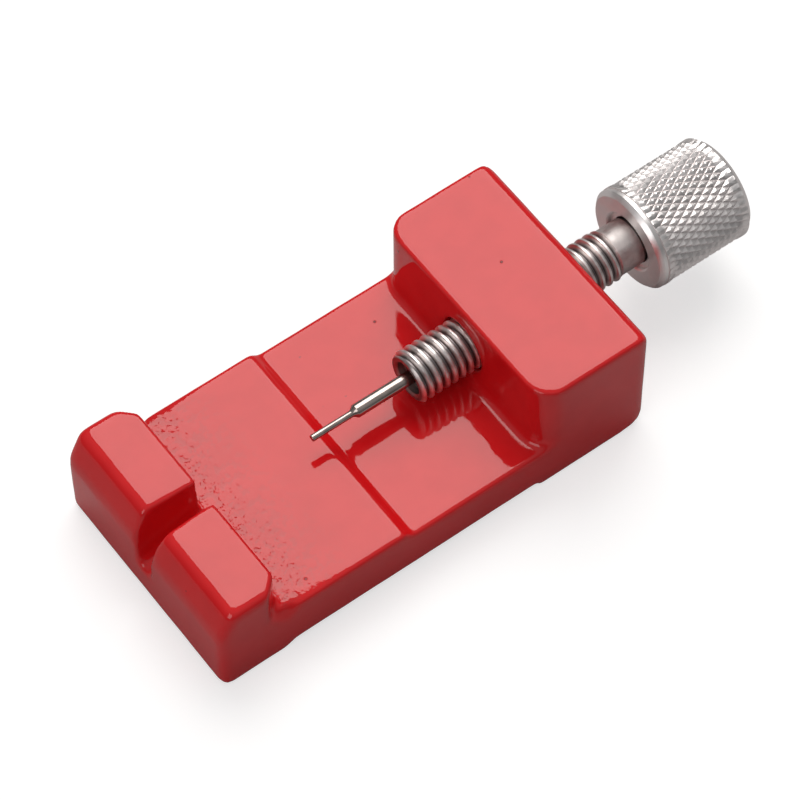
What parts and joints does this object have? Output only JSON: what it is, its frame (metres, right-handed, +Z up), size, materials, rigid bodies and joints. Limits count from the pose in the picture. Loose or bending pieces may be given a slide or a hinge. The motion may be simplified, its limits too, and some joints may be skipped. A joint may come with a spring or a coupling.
{
  "type": "watch band link pin press",
  "caption": "Small bench press for watch band link pins: red cast body with a slotted anvil, tapped tower, knurled screw and stepped punch pin.",
  "frame": {"origin": "on the bench, under the middle of the whole tool with its screw at rest", "axes": "+Z up, +X from the anvil along the screw to the knob, +Y across the casting"},
  "size_m": [0.0736, 0.0274, 0.0159],
  "materials": {
    "red_enamel": "gloss",
    "bright_steel": "satin",
    "bright_aluminium": "satin",
    "polished_steel": "polished"
  },
  "bodies": {
    "casting": {"base": "red_enamel"},
    "punch": {"punch_pin": "polished_steel"},
    "screw": {"spindle": "bright_steel", "knob": "bright_aluminium"}
  },
  "joints": [
    {"name": "screw_feed", "type": "slide", "parent": "casting", "child": "punch", "axis": [-1, 0, 0], "range_m": [-0.012, 0.005]},
    {"name": "knob_turn", "type": "hinge", "parent": "punch", "child": "screw", "pos_m": [0, 0, 0.0098], "axis": [-1, 0, 0], "range_deg": [-4320, 1800]}
  ],
  "couplings": [
    {"joint": "knob_turn", "follows": "screw_feed", "rad_per_m": 6283.2}
  ]
}
